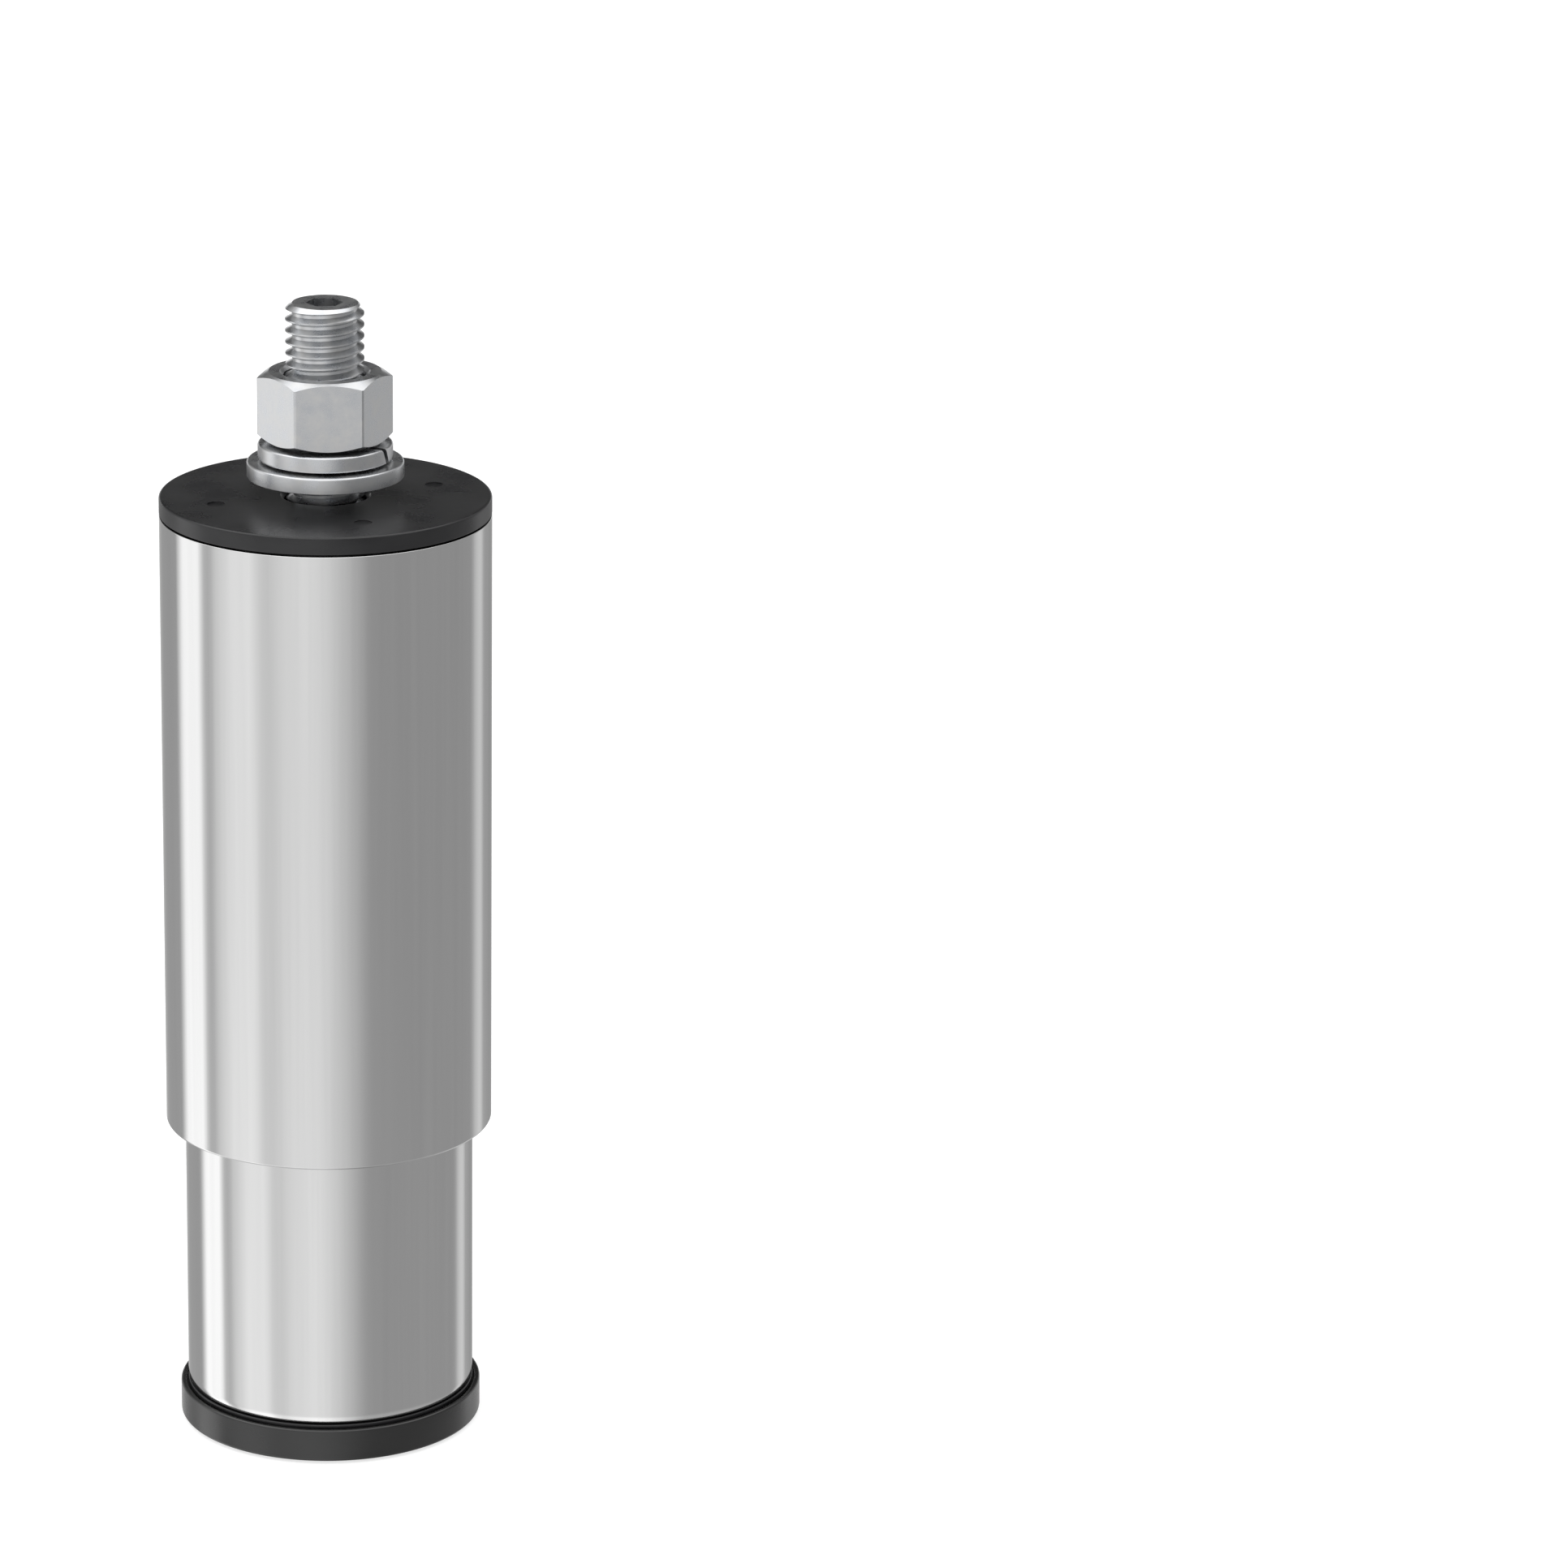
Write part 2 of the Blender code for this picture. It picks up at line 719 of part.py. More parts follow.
def pivot_bolt(head_low, length):
    """M8 bolt with a low round head and a hexagon socket, put in from below the foot."""
    outline = [
        (0.0, length),
        (PIVOT_RADIUS - PIVOT_CHAMFER, length),
        (PIVOT_RADIUS, length - PIVOT_CHAMFER),
        (PIVOT_RADIUS, HEAD_HEIGHT),
        (HEAD_RADIUS, HEAD_HEIGHT),
        (HEAD_RADIUS, HEAD_EDGE),
        (HEAD_RADIUS - HEAD_EDGE, 0.0),
        (0.0, 0.0),
    ]
    part = turned("pivot_bolt", outline, PARTS, COARSE, closed=False)
    hex_cut(part, SOCKET_FLATS, -PAST, HEAD_SOCKET_DEPTH)
    finish(part, FOOT, head_low, ZINC)


def foot_assembly():
    """The foot, its pad and its pivot, stacked upwards from the bolt's head."""
    head_low = PAD_THICKNESS + 2 * GAP
    head_room = head_low + HEAD_HEIGHT + GAP
    boss_top = head_room + BOSS_OVER_HEAD
    glide_low = boss_top + GAP
    floor_low = glide_low + GLIDE_WASHER_THICKNESS + GAP
    washer_low = floor_low + PLUG_FLOOR + GAP
    nut_low = washer_low + PIVOT_WASHER_THICKNESS + GAP
    foot_base(boss_top, head_room)
    foot_pad()
    plain_ring(
        "glide_washer",
        GLIDE_WASHER_RADIUS,
        GLIDE_WASHER_BORE,
        GLIDE_WASHER_THICKNESS,
        GLIDE,
        glide_low,
        ACETAL,
    )
    lower_plug(floor_low)
    plain_ring(
        "pivot_washer",
        PIVOT_WASHER_RADIUS,
        PIVOT_HOLE,
        PIVOT_WASHER_THICKNESS,
        FOOT,
        washer_low,
        ZINC,
    )
    hex_nut("pivot_nut", M8_FLATS, M8_NUT_HEIGHT, PIVOT_HOLE, FOOT, nut_low, ZINC)
    pivot_bolt(head_low, nut_low + M8_NUT_HEIGHT + BOLT_PAST_NUT - head_low)


# ---------------------------------------------------------------- the whole leg


clear_scene()
PARTS = new_collection("leveling_leg")
TOOLS = new_collection("cutters_and_guides")

STAINLESS = new_material("satin_stainless", (0.60, 0.60, 0.60), 0.28, 1.0)
ZINC = new_material("zinc_plated_steel", (0.62, 0.64, 0.66), 0.35, 1.0)
SPRING_STEEL = new_material("spring_steel", (0.22, 0.22, 0.24), 0.40, 1.0)
NYLON = new_material("black_nylon", (0.030, 0.030, 0.032), 0.45, 0.0)
ACETAL = new_material("white_acetal", (0.75, 0.75, 0.72), 0.40, 0.0)
BLACK_PLASTIC = new_material("black_plastic", (0.022, 0.022, 0.022), 0.38, 0.0)
RUBBER = new_material("black_rubber", (0.015, 0.015, 0.015), 0.80, 0.0)

UPPER_LEG = body_empty("upper_leg_body")
GLIDE = body_empty("glide_body")
LOWER_LEG = body_empty("lower_leg_body")
FOOT = body_empty("foot_body")
GLIDE.parent = UPPER_LEG
LOWER_LEG.parent = GLIDE
FOOT.parent = GLIDE

outer_tube()
top_insert()
threaded_rod()
hex_nut(
    "insert_nut",
    M12_FLATS,
    M12_NUT_HEIGHT,
    ROD_HOLE,
    UPPER_LEG,
    INSERT_BOTTOM + GAP,
    ZINC,
)
lock_pin()
stud_hardware()
guide_bush()
rod_stop()
lower_tube()
nut_carrier()
foot_assembly()
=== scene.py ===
"""The looks of the stainless leveling leg: its fine pieces, finishes, floor, light and camera.

Metres, +Z up, in the frame of the CAD model: the leg stands on the floor at z = 0, on the Z axis.
Every piece takes its place and its size from the CAD node that it stands for. Wall thicknesses,
edge radii and thread forms, which a node's box doesn't give, are the named values below.
"""

import json
import math

import bmesh
import bpy
from mathutils import Matrix, Vector

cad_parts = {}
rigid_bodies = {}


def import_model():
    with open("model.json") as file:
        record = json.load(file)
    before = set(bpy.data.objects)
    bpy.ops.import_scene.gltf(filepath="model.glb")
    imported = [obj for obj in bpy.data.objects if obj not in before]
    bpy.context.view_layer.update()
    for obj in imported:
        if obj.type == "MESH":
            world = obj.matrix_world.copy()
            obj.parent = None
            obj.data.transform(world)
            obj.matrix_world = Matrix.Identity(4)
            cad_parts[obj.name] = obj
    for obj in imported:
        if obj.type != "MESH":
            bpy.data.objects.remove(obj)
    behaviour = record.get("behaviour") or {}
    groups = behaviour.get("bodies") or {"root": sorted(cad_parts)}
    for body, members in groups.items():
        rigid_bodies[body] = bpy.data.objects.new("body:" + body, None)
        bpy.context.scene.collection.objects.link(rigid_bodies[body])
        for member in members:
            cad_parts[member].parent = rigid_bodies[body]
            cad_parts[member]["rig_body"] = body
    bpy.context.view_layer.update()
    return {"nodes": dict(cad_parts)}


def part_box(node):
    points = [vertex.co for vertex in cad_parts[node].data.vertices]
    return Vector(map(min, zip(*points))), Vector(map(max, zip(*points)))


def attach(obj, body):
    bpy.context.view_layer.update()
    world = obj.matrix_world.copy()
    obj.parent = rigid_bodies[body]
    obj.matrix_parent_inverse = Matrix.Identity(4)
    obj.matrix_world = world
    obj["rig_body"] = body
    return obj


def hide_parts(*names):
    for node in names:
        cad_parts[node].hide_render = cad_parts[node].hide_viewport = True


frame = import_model()

# How finely pieces are cut: turned pieces, small tools, threads, and the arcs at their edges.
STEPS = 192
TOOL_STEPS = 48
THREAD_STEPS = 64
EDGE_STEPS = 5

# Clearance that the CAD model keeps between neighbours, and how far a cutter reaches past a piece.
GAP = 0.0003
PAST = 0.001

# The camera's place round the leg and where it points, in degrees, and its lens in millimetres.
# All but the azimuth were fitted to the leg's outlines in the photograph.
CAMERA_AZIMUTH = 26.5
CAMERA_DISTANCE = 1.015
CAMERA_HEIGHT = 0.4217
CAMERA_PAN = 3.986
CAMERA_TILT = 17.38
CAMERA_ROLL = 0.86
CAMERA_LENS = 157.7

# Steel tubes: wall, deburred edges, the sleeve's rounded mouth, and the lower tube's end, which
# curves in a little.
TUBE_WALL = 0.0012
BURR = 0.00015
SLEEVE_EDGE = 0.0004
TAPER_HEIGHT = 0.0009
TAPER_DEPTH = 0.00015
TAPER_EDGE = 0.0050

# The M12 coarse thread, and what is cut into the rod.
THREAD_PITCH = 0.00175
THREAD_DEPTH = 0.00107
ROD_CHAMFER = 0.0009
ROD_GROOVE = 0.0007
ROD_SOCKET_FLATS = 0.0050
ROD_SOCKET_DEPTH = 0.0060
ROD_HOLE = 0.0063

# Each nut's distance across its flats, and the share of it that its flat end ring takes up.
NUT_FLATS = {"mounting_nut": 0.018, "insert_nut": 0.018, "leveling_nut": 0.018, "pivot_nut": 0.013}
NUT_FACE = 0.95
NUT_CORNER = 0.00025

# The spring washer's cut: its width, and its slant in degrees.
SPRING_CUT = 0.0009
SPRING_SLANT = 25

# Nylon plugs: skirt, boss, webs between them, and crush ribs on the skirt.
PLUG_SKIRT = 0.0018
BOSS_RADIUS = 0.0130
WEBS = 8
WEB_WIDTH = 0.0016
CRUSH_RIBS = 12
BITE = 0.0005
HOLE_SINK = 0.0006

# Ejector pin marks in the top insert's seat.
MARKS = 4
MARK_RADIUS = 0.0014
MARK_PLACE = 0.0175
MARK_DEPTH = 0.00015

# Plug in the lower tube's end: the cavity under its floor, the well over it, and where webs start.
CAVITY_RADIUS = 0.0120
WELL_RADIUS = 0.0186
WELL_WEB_START = 0.0100

# The slit in the guide bush.
BUSH_SLIT = 0.0015

# Foot: its rim, pivot boss and bolt, and the rubber pad's grooves and grip.
FOOT_HEIGHT = 0.0056
RIM_WALL = 0.0008
RIM_EDGE = 0.00035
FOOT_BOSS = 0.0112
HEAD_WELL = 0.0071
PIVOT_RADIUS = 0.0040
PIVOT_CHAMFER = 0.0007
HEAD_RADIUS = 0.0065
HEAD_HEIGHT = 0.0034
HEAD_SOCKET_FLATS = 0.0050
HEAD_SOCKET_DEPTH = 0.0022
PAD_GROOVES = (0.0180, 0.0135)
PAD_GROOVE_WIDTH = 0.0010
PAD_GROOVE_DEPTH = 0.0007
PAD_NOTCHES = 40
PAD_NOTCH_WIDTH = 0.0009
PAD_NOTCH_DEPTH = 0.0004


# ---------------------------------------------------------------- shapes


def around(i, count, turn=0.0):
    """The angle of copy i of count round the axis."""
    return turn + 2 * math.pi * i / count


def rounded(corners):
    """An outline from (radius, height, edge) corners, each rounded to its edge radius."""
    points = []
    for i, (radius, height, edge) in enumerate(corners):
        corner = Vector((radius, height))
        if edge == 0:
            points.append(corner)
            continue
        back = (Vector(corners[i - 1][:2]) - corner).normalized()
        ahead = (Vector(corners[(i + 1) % len(corners)][:2]) - corner).normalized()
        half = back.angle(ahead) / 2
        centre = corner + (back + ahead).normalized() * edge / math.sin(half)
        first = corner + back * edge / math.tan(half) - centre
        last = corner + ahead * edge / math.tan(half) - centre
        sweep = first.angle(last)
        for step in range(EDGE_STEPS + 1):
            share = step / EDGE_STEPS
            along = first * math.sin((1 - share) * sweep) + last * math.sin(share * sweep)
            points.append(centre + along / math.sin(sweep))
    return points


def new_object(name, bm):
    """An object that holds a bmesh's geometry, its faces pointing out."""
    bmesh.ops.recalc_face_normals(bm, faces=bm.faces)
    mesh = bpy.data.meshes.new(name)
    bm.to_mesh(mesh)
    bm.free()
    thing = bpy.data.objects.new(name, mesh)
    bpy.context.scene.collection.objects.link(thing)
    return thing


def turned(name, corners, closed=True, steps=STEPS):
    """A turned piece from its rounded outline. An open outline starts and ends on the axis."""
    bm = bmesh.new()
    rings = []
    for radius, height in rounded(corners):
        count = steps if radius > 0 else 1
        angles = [around(i, count) for i in range(count)]
        rings.append([bm.verts.new((radius * math.cos(a), radius * math.sin(a), height)) for a in angles])
    following = rings[1:] + rings[:1] if closed else rings[1:]
    for ring, other in zip(rings, following):
        for i in range(steps):
            here = (ring[i % len(ring)], ring[(i + 1) % len(ring)])
            there = (other[(i + 1) % len(other)], other[i % len(other)])
            bm.faces.new(dict.fromkeys((*here, *there)))
    return new_object(name, bm)


def prism(name, radius, low, high, sides):
    """An upright prism, or a cylinder with many sides."""
    bm = bmesh.new()
    bmesh.ops.create_cone(
        bm,
        cap_ends=True,
        segments=sides,
        radius1=radius,
        radius2=radius,
        depth=high - low,
        matrix=Matrix.Translation((0.0, 0.0, (low + high) / 2)),
    )
    return new_object(name, bm)


def plates(name, count, inner, outer, width, low, high, turn=0.0):
    """Upright plates round the axis, from the inner to the outer radius."""
    bm = bmesh.new()
    for i in range(count):
        swing = Matrix.Rotation(around(i, count, turn), 4, "Z")
        centre = Matrix.Translation(((inner + outer) / 2, 0.0, (low + high) / 2))
        size = Matrix.Diagonal((outer - inner, width, high - low, 1.0))
        bmesh.ops.create_cube(bm, size=1.0, matrix=swing @ centre @ size)
    return new_object(name, bm)


def combine(piece, tool, operation):
    """Cuts or joins a piece with a tool, and removes the tool."""
    boolean = piece.modifiers.new("combine", "BOOLEAN")
    boolean.operation = operation
    boolean.solver = "EXACT"
    boolean.object = tool
    bpy.context.view_layer.update()
    evaluated = piece.evaluated_get(bpy.context.evaluated_depsgraph_get())
    mesh = bpy.data.meshes.new_from_object(evaluated)
    piece.modifiers.clear()
    piece.data = mesh
    bpy.data.objects.remove(tool)


def hex_socket(piece, flats, low, high):
    """A hexagon socket or pocket between two heights."""
    combine(piece, prism("socket", flats / math.sqrt(3), low, high, 6), "DIFFERENCE")


def cross_hole(piece, radius, height, length):
    """A round hole right through a piece along X."""
    tool = prism("cross_hole", radius, -length / 2, length / 2, TOOL_STEPS)
    tool.data.transform(Matrix.Rotation(math.radians(90), 4, "Y"))
    tool.data.transform(Matrix.Translation((0.0, 0.0, height)))
    combine(piece, tool, "DIFFERENCE")


def soften_corners(piece, width):
    """Rounds the upright edges of a prism."""
    bm = bmesh.new()
    bm.from_mesh(piece.data)
    upright = [edge for edge in bm.edges if abs(edge.verts[0].co.z - edge.verts[1].co.z) > width]
    bmesh.ops.bevel(bm, geom=upright, offset=width, segments=3, profile=0.5, affect="EDGES")
    bm.to_mesh(piece.data)
    bm.free()


def size_of(node):
    """A round node's outer radius, inner radius, lowest and highest point."""
    low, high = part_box(node)
    reach = [math.hypot(v.co.x, v.co.y) for v in frame["nodes"][node].data.vertices]
    return max(reach), min(reach), low.z, high.z


def place(piece, node, slot):
    """Shades a finished piece, and puts it in its CAD node's place on that node's body."""
    mesh = piece.data
    mesh.shade_smooth()
    mesh.set_sharp_from_angle(angle=math.radians(32))
    mesh.materials.clear()
    mesh.materials.append(FINISHES[slot])
    normals = piece.modifiers.new("flat_faces", "WEIGHTED_NORMAL")
    normals.keep_sharp = True
    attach(piece, frame["nodes"][node]["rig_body"])
    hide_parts(node)


# ---------------------------------------------------------------- finishes


class Finish:
    """A procedural material: one Principled shader, and the textures that vary its sockets."""

    def __init__(self, name, metallic=0.0):
        self.material = bpy.data.materials.new(name)
        self.material.use_nodes = True
        self.tree = self.material.node_tree
        self.shader = self.tree.nodes["Principled BSDF"]
        self.shader.inputs["Metallic"].default_value = metallic
        self.coordinates = self.tree.nodes.new("ShaderNodeTexCoord")

    def noise(self, scale, detail=2.0, roughness=0.5):
        """Noise from 0 to 1. Its scale is one number, or one for each axis, in cells per metre."""
        mapping = self.tree.nodes.new("ShaderNodeMapping")
        mapping.inputs["Scale"].default_value = scale if isinstance(scale, tuple) else (scale,) * 3
        self.tree.links.new(self.coordinates.outputs["Object"], mapping.inputs["Vector"])
        made = self.tree.nodes.new("ShaderNodeTexNoise")
        made.inputs["Scale"].default_value = 1.0
        made.inputs["Detail"].default_value = detail
        made.inputs["Roughness"].default_value = roughness
        self.tree.links.new(mapping.outputs["Vector"], made.inputs["Vector"])
        return made.outputs["Fac"]

    def colour(self, value, dark, light, start=0.3, end=0.7):
        """Varies the base colour between two colours."""
        ramp = self.tree.nodes.new("ShaderNodeValToRGB")
        first, last = ramp.color_ramp.elements
        first.position, first.color = start, (*dark, 1.0)
        last.position, last.color = end, (*light, 1.0)
        self.tree.links.new(value, ramp.inputs["Fac"])
        self.tree.links.new(ramp.outputs["Color"], self.shader.inputs["Base Color"])

    def roughness(self, value, low, high):
        """Varies the roughness between two values."""
        spread = self.tree.nodes.new("ShaderNodeMapRange")
        spread.inputs["From Min"].default_value = 0.3
        spread.inputs["From Max"].default_value = 0.7
        spread.inputs["To Min"].default_value = low
        spread.inputs["To Max"].default_value = high
        self.tree.links.new(value, spread.inputs["Value"])
        self.tree.links.new(spread.outputs["Result"], self.shader.inputs["Roughness"])

    def bumps(self, *layers):
        """Stacks bumps, each a texture and its height in metres."""
        normal = None
        for value, height in layers:
            bump = self.tree.nodes.new("ShaderNodeBump")
            bump.inputs["Distance"].default_value = height
            self.tree.links.new(value, bump.inputs["Height"])
            if normal:
                self.tree.links.new(normal, bump.inputs["Normal"])
            normal = bump.outputs["Normal"]
        self.tree.links.new(normal, self.shader.inputs["Normal"])


def satin_stainless():
    """Drawn and polished tube: fine lines along it, broader streaks, and faint waves in the wall."""
    finish = Finish("satin_stainless", metallic=1.0)
    lines = finish.noise((2400.0, 2400.0, 14.0), detail=3.0, roughness=0.6)
    streaks = finish.noise((420.0, 420.0, 7.0), detail=3.0, roughness=0.6)
    waves = finish.noise((85.0, 85.0, 30.0), detail=1.0)
    finish.colour(streaks, (0.700, 0.700, 0.700), (0.740, 0.740, 0.738))
    finish.roughness(lines, 0.10, 0.15)
    finish.bumps((waves, 0.00002), (streaks, 0.0000025), (lines, 0.0000007))
    return finish.material


def zinc_plated_steel():
    """Bright zinc over rolled and turned steel, with a mottled passivated film."""
    finish = Finish("zinc_plated_steel", metallic=1.0)
    film = finish.noise(420.0, detail=4.0, roughness=0.6)
    grain = finish.noise(2600.0, detail=3.0)
    finish.colour(film, (0.56, 0.575, 0.60), (0.67, 0.67, 0.665))
    finish.roughness(film, 0.24, 0.34)
    finish.bumps((film, 0.000004), (grain, 0.0000015))
    return finish.material


def spring_steel():
    """Dark phosphated spring steel."""
    finish = Finish("spring_steel", metallic=1.0)
    film = finish.noise(900.0, detail=4.0, roughness=0.6)
    grain = finish.noise(5200.0)
    finish.colour(film, (0.10, 0.10, 0.11), (0.24, 0.23, 0.22))
    finish.roughness(film, 0.38, 0.60)
    finish.bumps((grain, 0.000006))
    return finish.material


def black_nylon():
    """Moulded nylon with a fine eroded grain and faint flow marks."""
    finish = Finish("black_nylon")
    flow = finish.noise((110.0, 110.0, 260.0), detail=3.0)
    grain = finish.noise(4200.0, detail=3.0, roughness=0.6)
    finish.colour(flow, (0.008, 0.008, 0.009), (0.015, 0.015, 0.016))
    finish.roughness(flow, 0.24, 0.34)
    finish.bumps((flow, 0.000006), (grain, 0.0000035))
    return finish.material


def white_acetal():
    """Turned white acetal."""
    finish = Finish("white_acetal")
    flow = finish.noise(160.0)
    lines = finish.noise((60.0, 60.0, 4000.0))
    finish.colour(flow, (0.72, 0.71, 0.68), (0.80, 0.79, 0.76))
    finish.roughness(flow, 0.32, 0.46)
    finish.bumps((lines, 0.000004))
    return finish.material


def black_plastic():
    """Satin moulded plastic with a very fine grain."""
    finish = Finish("black_plastic")
    flow = finish.noise((55.0, 55.0, 140.0), detail=3.0)
    grain = finish.noise(5200.0, detail=3.0, roughness=0.6)
    finish.shader.inputs["Specular IOR Level"].default_value = 0.75
    finish.shader.inputs["Sheen Weight"].default_value = 0.3
    finish.shader.inputs["Sheen Roughness"].default_value = 0.3
    finish.colour(flow, (0.004, 0.004, 0.004), (0.008, 0.008, 0.008))
    finish.roughness(flow, 0.24, 0.32)
    finish.bumps((flow, 0.000008), (grain, 0.000003))
    return finish.material


def black_rubber():
    """Matt rubber with a dusty, slightly uneven skin."""
    finish = Finish("black_rubber")
    dust = finish.noise(240.0, detail=5.0, roughness=0.65)
    grain = finish.noise(3200.0, detail=3.0)
    finish.colour(dust, (0.010, 0.010, 0.010), (0.040, 0.039, 0.037), start=0.35, end=0.8)
    finish.roughness(dust, 0.70, 0.90)
    finish.bumps((grain, 0.00002))
    return finish.material


FINISHES = {
    "satin_stainless": satin_stainless(),
    "zinc_plated_steel": zinc_plated_steel(),
    "spring_steel": spring_steel(),
    "black_nylon": black_nylon(),
    "white_acetal": white_acetal(),
    "black_plastic": black_plastic(),
    "black_rubber": black_rubber(),
}


# ---------------------------------------------------------------- tubes


def tube(node, edge, taper=0.0):
    """A steel tube with a rounded lower edge, and a lower end that curves in where it is given."""
    outer, _, low, high = size_of(node)
    inner = outer - TUBE_WALL
    corners = [(outer, high, BURR)]
    if taper:
        corners.append((outer, low + TAPER_HEIGHT, TAPER_EDGE))
    corners += [(outer - taper, low, edge), (inner, low, BURR), (inner, high, BURR)]
    place(turned(node + "_steel", corners), node, "satin_stainless")


# ---------------------------------------------------------------- rod, nuts and washers


def threaded_stock(name, radius, low, high):
    """A closed length of right-hand thread that reaches past both heights."""
    turns = math.ceil((high - low) / THREAD_PITCH) + 4
    start = low - 2 * THREAD_PITCH
    root = radius - THREAD_DEPTH
    form = [(root, 0.0), (root, 0.25), (radius, 0.5625), (radius, 0.6875)]
    bm = bmesh.new()
    columns = []
    for i in range(turns * THREAD_STEPS + 1):
        swing = Matrix.Rotation(around(i, THREAD_STEPS), 4, "Z")
        lift = start + THREAD_PITCH * i / THREAD_STEPS
        profile = [Vector((r, 0.0, lift + share * THREAD_PITCH)) for r, share in form]
        columns.append([bm.verts.new(swing @ point) for point in profile])
    for i, (column, after) in enumerate(zip(columns, columns[1:])):
        for k in range(len(form) - 1):
            bm.faces.new((column[k], after[k], after[k + 1], column[k + 1]))
        if i + 1 + THREAD_STEPS < len(columns):
            over, over_after = columns[i + THREAD_STEPS][0], columns[i + 1 + THREAD_STEPS][0]
            bm.faces.new((column[-1], after[-1], over_after, over))
    open_edges = [edge for edge in bm.edges if edge.is_boundary]
    bottom = bm.verts.new((0.0, 0.0, start))
    top = bm.verts.new((0.0, 0.0, start + turns * THREAD_PITCH))
    for edge in open_edges:
        end = bottom if edge.verts[0].co.z < (low + high) / 2 else top
        bm.faces.new((*edge.verts, end))
    return new_object(name, bm)


def threaded_rod():
    """The M12 rod: its thread, chamfered ends, ring groove, hexagon socket and pin hole."""
    outer, _, low, high = size_of("threaded_rod")
    _, _, ring_low, ring_high = size_of("retaining_ring")
    pin_low, pin_high = (corner.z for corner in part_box("lock_pin"))
    groove = outer - ROD_GROOVE
    clear = outer + GAP
    corners = [
        (0.0, high, 0),
        (outer - ROD_CHAMFER, high, 0.0001),
        (clear, high - ROD_CHAMFER - GAP, 0),
        (clear, ring_high + GAP, 0),
        (groove, ring_high + GAP, 0),
        (groove, ring_low - GAP, 0),
        (clear, ring_low - GAP, 0),
        (clear, low + ROD_CHAMFER, 0),
        (outer - ROD_CHAMFER, low, 0),
        (0.0, low, 0),
    ]
    rod = threaded_stock("threaded_rod_m12", outer, low, high)
    combine(rod, turned("rod_envelope", corners, closed=False, steps=THREAD_STEPS), "INTERSECT")
    hex_socket(rod, ROD_SOCKET_FLATS, high - ROD_SOCKET_DEPTH, high + GAP)
    cross_hole(rod, (pin_high - pin_low) / 2 + GAP, (pin_low + pin_high) / 2, 4 * outer)
    place(rod, "threaded_rod", "zinc_plated_steel")


def hex_nut(node):
    """A hexagon nut, its corners turned off at 30 degrees and its bore countersunk."""
    _, bore, low, high = size_of(node)
    flats = NUT_FLATS[node]
    face = NUT_FACE * flats / 2
    reach = flats / math.sqrt(3) + 2 * GAP
    drop = (reach - face) * math.tan(math.radians(30))
    sink = 2 * GAP
    corners = [
        (face, high, 0.0001),
        (reach, high - drop, 0),
        (reach, low + drop, 0),
        (face, low, 0.0001),
        (bore + sink, low, 0.0001),
        (bore, low + sink, 0),
        (bore, high - sink, 0),
        (bore + sink, high, 0.0001),
    ]
    nut = prism(node + "_hexagon", flats / math.sqrt(3), low, high, 6)
    soften_corners(nut, NUT_CORNER)
    combine(nut, turned("nut_envelope", corners), "INTERSECT")
    place(nut, node, "zinc_plated_steel")


def washer(node, slot, top_edge, bottom_edge):
    """A washer or disc. Stamped ones are rounder on one side than on the other."""
    outer, inner, low, high = size_of(node)
    corners = [
        (outer, high, top_edge),
        (outer, low, bottom_edge),
        (inner, low, bottom_edge),
        (inner, high, top_edge),
    ]
    place(turned(node + "_disc", corners), node, slot)


def spring_washer():
    """Split lock washer with rounded edges and a slanted cut."""
    outer, inner, low, high = size_of("spring_washer")
    corners = [(outer, high, 0.0004), (outer, low, 0.0004), (inner, low, 0.0003), (inner, high, 0.0003)]
    coil = turned("spring_washer_coil", corners)
    reach = 2 * (high - low)
    cut = plates("cut", 1, inner - PAST, outer + PAST, SPRING_CUT, -reach, reach)
    cut.data.transform(Matrix.Rotation(math.radians(SPRING_SLANT), 4, "X"))
    cut.data.transform(Matrix.Translation((0.0, 0.0, (low + high) / 2)))
    combine(coil, cut, "DIFFERENCE")
    place(coil, "spring_washer", "zinc_plated_steel")


# ---------------------------------------------------------------- mouldings


def webbed(piece, inner, outer, low, high, turn=0.0):
    """Joins upright webs between a moulding's boss and its skirt."""
    webs = plates("webs", WEBS, inner - BITE, outer + BITE, WEB_WIDTH, low, high, turn)
    combine(piece, webs, "UNION")


def ribbed(piece, skirt, low, high):
    """Joins crush ribs down a plug's skirt."""
    ribs = plates("ribs", CRUSH_RIBS, skirt - BITE, skirt + GAP, WEB_WIDTH, low, high, math.pi / CRUSH_RIBS)
    combine(piece, ribs, "UNION")


